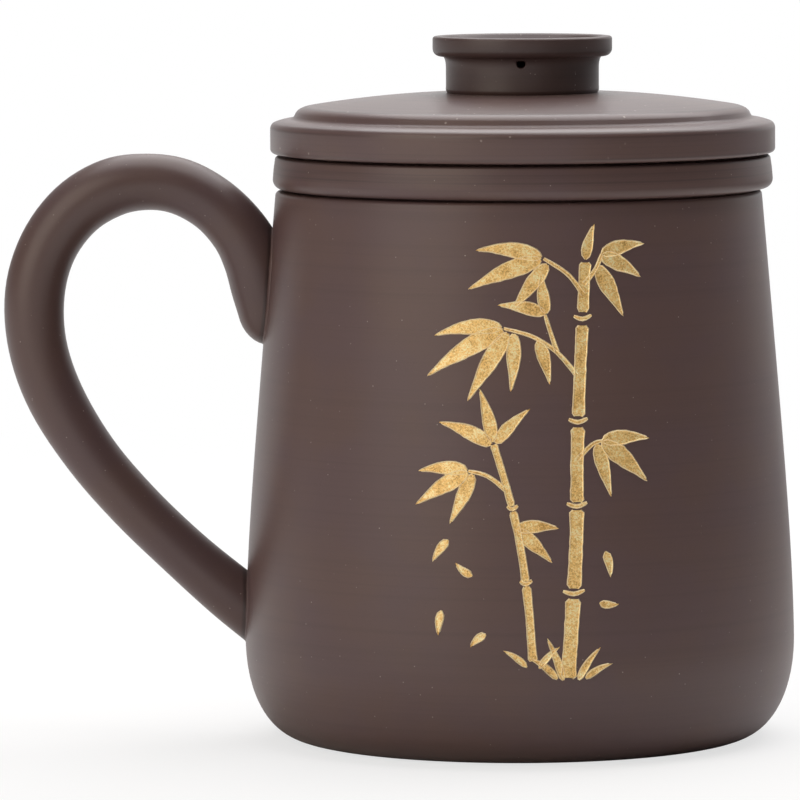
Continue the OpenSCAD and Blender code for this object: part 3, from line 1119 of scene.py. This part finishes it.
def make_knob_cap():
    """The cap, with a dish turned in its top."""
    dish_r = CAP_R - 0.5 * MM - LIP_W
    outline = [
        (0.0, CAP_Z, 0.0),
        (CAP_R, CAP_Z, 1.3 * MM),
        (CAP_R, CAP_TOP_Z, 0.5 * MM),
        (dish_r, CAP_TOP_Z, 0.4 * MM),
        (dish_r - 1.3 * MM, CAP_TOP_Z - DISH_DEPTH, 0.6 * MM),
        (0.0, CAP_TOP_Z - DISH_DEPTH, 0.0),
    ]
    bm = turned(outline, SEAT_X, closed=False)
    finished("turned_cap", bm, "lid", KNOB_CLAY, "lid_clay", "knob_cap")


# ---------------------------------------------------------------- Stage

CAMERA_PLACE = (-20.3 * MM, -1.2, 157.5 * MM)
CAMERA_LENS = 317.8
# How far the camera looks down, and its roll, in degrees
CAMERA_DIP = 4.764
CAMERA_ROLL = -0.2292

FLOOR_R = 12.0
# The floor lies this far under the foot, so that the two never share a plane
FLOOR_DROP = 0.05 * MM
FLOOR_PALE = (0.78, 0.78, 0.78, 1.0)
SHADOW_PALE = (0.85, 0.85, 0.85, 1.0)
WHITE = (1.0, 1.0, 1.0, 1.0)
# How much of the mirrored floor's light is lost on the right
FLOOR_SIDE_LOSS = 0.70

# Light from the room in front of the mug and from the backdrop behind it, the share of it
# that is lost beside the mug, and the share of the mirrored backdrop that is lost high up
FRONT_LEVEL = 0.20
BACK_LEVEL = 0.50
SIDE_LOSS = 0.65
HIGH_LOSS = 0.6
# How much further round the backdrop reaches on the right
BACKDROP_TURN = 0.25

# Softboxes as (name, place, width, watts, colour), all turned to the middle of the mug
SOFTBOXES = (
    ("left_softbox", (-1.03, -0.97, 0.75), 1.4, 11.2, (1.0, 0.91, 0.79)),
    ("top_softbox", (0.22, 0.45, 1.30), 1.8, 29.0, (1.0, 0.98, 0.98)),
)
LIT_PLACE = Vector((0, 0, 0.05))


def make_camera():
    """A long lens in front of the mug, a little above the lid."""
    data = bpy.data.cameras.new("camera")
    data.lens = CAMERA_LENS
    data.sensor_width = 36
    data.clip_start = 0.05
    data.clip_end = 100
    camera = added("camera", data)
    tilt = Matrix.Rotation(math.radians(90 - CAMERA_DIP), 4, "X")
    roll = Matrix.Rotation(math.radians(CAMERA_ROLL), 4, "Z")
    camera.matrix_world = Matrix.Translation(CAMERA_PLACE) @ tilt @ roll
    bpy.context.scene.camera = camera


def ray_kinds(shader):
    """1 for a ray that the camera sees itself, sees in a gloss, or sees through glass."""
    return shader.node(
        "ShaderNodeLightPath", out=("Is Camera Ray", "Is Glossy Ray", "Is Transmission Ray")
    )


def floor_paint():
    """White to the camera and in far reflections, and pale to the light, with the mug's shadow.
    From below it is clear."""
    material = bpy.data.materials.new("floor")
    shader = Shader(material)
    camera_ray, glossy_ray, clear_ray = ray_kinds(shader)
    under = shader.node("ShaderNodeNewGeometry", out="Backfacing")
    place = shader.node("ShaderNodeTexCoord", out="Object")
    right = shader.node("ShaderNodeSeparateXYZ", {}, {0: place}, out="X")
    away = shader.node("ShaderNodeVectorMath", {"operation": "LENGTH"}, {0: place}, out="Value")
    # The shadow shows near the mug, and fades into plain white
    plain = 0.70 + 0.30 * away.soft_step(0.15, 0.60)
    mirrored = (glossy_ray + clear_ray) * away.soft_step(0.06, 0.40)
    # Mirrored in the clay, the floor is dimmer on the right than straight behind
    bearing = right / away
    strength = 1.0 - glossy_ray * FLOOR_SIDE_LOSS * bearing.soft_step(0.25, 0.60)
    pale = shader.node("ShaderNodeBsdfDiffuse", {}, {"Color": FLOOR_PALE})
    shaded = shader.node("ShaderNodeBsdfDiffuse", {}, {"Color": SHADOW_PALE})
    white = shader.node("ShaderNodeEmission", {}, {"Color": WHITE, "Strength": strength})
    backdrop = shader.node("ShaderNodeMixShader", {}, {0: plain, 1: shaded, 2: white})
    shows = camera_ray + mirrored
    seen = shader.node("ShaderNodeMixShader", {}, {0: shows, 1: pale, 2: backdrop})
    clear = shader.node("ShaderNodeBsdfTransparent")
    surface = shader.node("ShaderNodeMixShader", {}, {0: under, 1: seen, 2: clear})
    shader.node("ShaderNodeOutputMaterial", {}, {"Surface": surface})
    return material


def make_floor():
    """A wide round floor, which is no piece of the mug."""
    bm = bmesh.new()
    bmesh.ops.create_circle(bm, cap_ends=True, segments=128, radius=FLOOR_R)
    floor = added("floor", mesh_of("floor", bm))
    floor.data.materials.append(floor_paint())
    floor.location.z = -FLOOR_DROP


def make_world():
    """A studio with a white backdrop behind the mug, and dimmer on the camera's side."""
    world = bpy.data.worlds.new("studio")
    bpy.context.scene.world = world
    shader = Shader(world)
    camera_ray, glossy_ray, clear_ray = ray_kinds(shader)
    way = shader.node("ShaderNodeTexCoord", out="Generated")
    right, behind, up = shader.node("ShaderNodeSeparateXYZ", {}, {0: way}, out=("X", "Y", "Z"))
    behind = behind + right * BACKDROP_TURN
    level = FRONT_LEVEL + (BACK_LEVEL - FRONT_LEVEL) * behind.soft_step(0.2, 0.95)
    beside = right.soft_step(0.1, 0.8) * (1.0 - behind.soft_step(0.3, 0.9))
    level = level * (1.0 - SIDE_LOSS * beside)
    light = shader.node("ShaderNodeBackground", {}, {"Color": WHITE, "Strength": level})
    white = shader.node("ShaderNodeBackground", {}, {"Color": WHITE, "Strength": 1.0})
    backdrop = behind.soft_step(0.70, 0.97) * (1.0 - HIGH_LOSS * up.soft_step(0.1, 0.7))
    shows = camera_ray + clear_ray + glossy_ray * backdrop
    surface = shader.node("ShaderNodeMixShader", {}, {0: shows, 1: light, 2: white})
    shader.node("ShaderNodeOutputWorld", {}, {"Surface": surface})


def make_softbox(name, place, width, watts, colour):
    """A square soft lamp that faces the mug."""
    data = bpy.data.lights.new(name, "AREA")
    data.size = width
    data.energy = watts
    data.color = colour
    lamp = added(name, data)
    lamp.location = place
    aim = (LIT_PLACE - Vector(place)).to_track_quat("-Z", "Y")
    lamp.rotation_euler = aim.to_euler()


make_camera()
make_floor()
make_world()
for softbox in SOFTBOXES:
    make_softbox(*softbox)

make_mug()
make_handle()
make_bamboo()
make_infuser_rim()
make_strainer_wall()
make_strainer_floor()
make_lid_disc()
make_lid_skirt()
make_knob_neck()
make_knob_cap()

bpy.context.scene.view_settings.view_transform = "Standard"
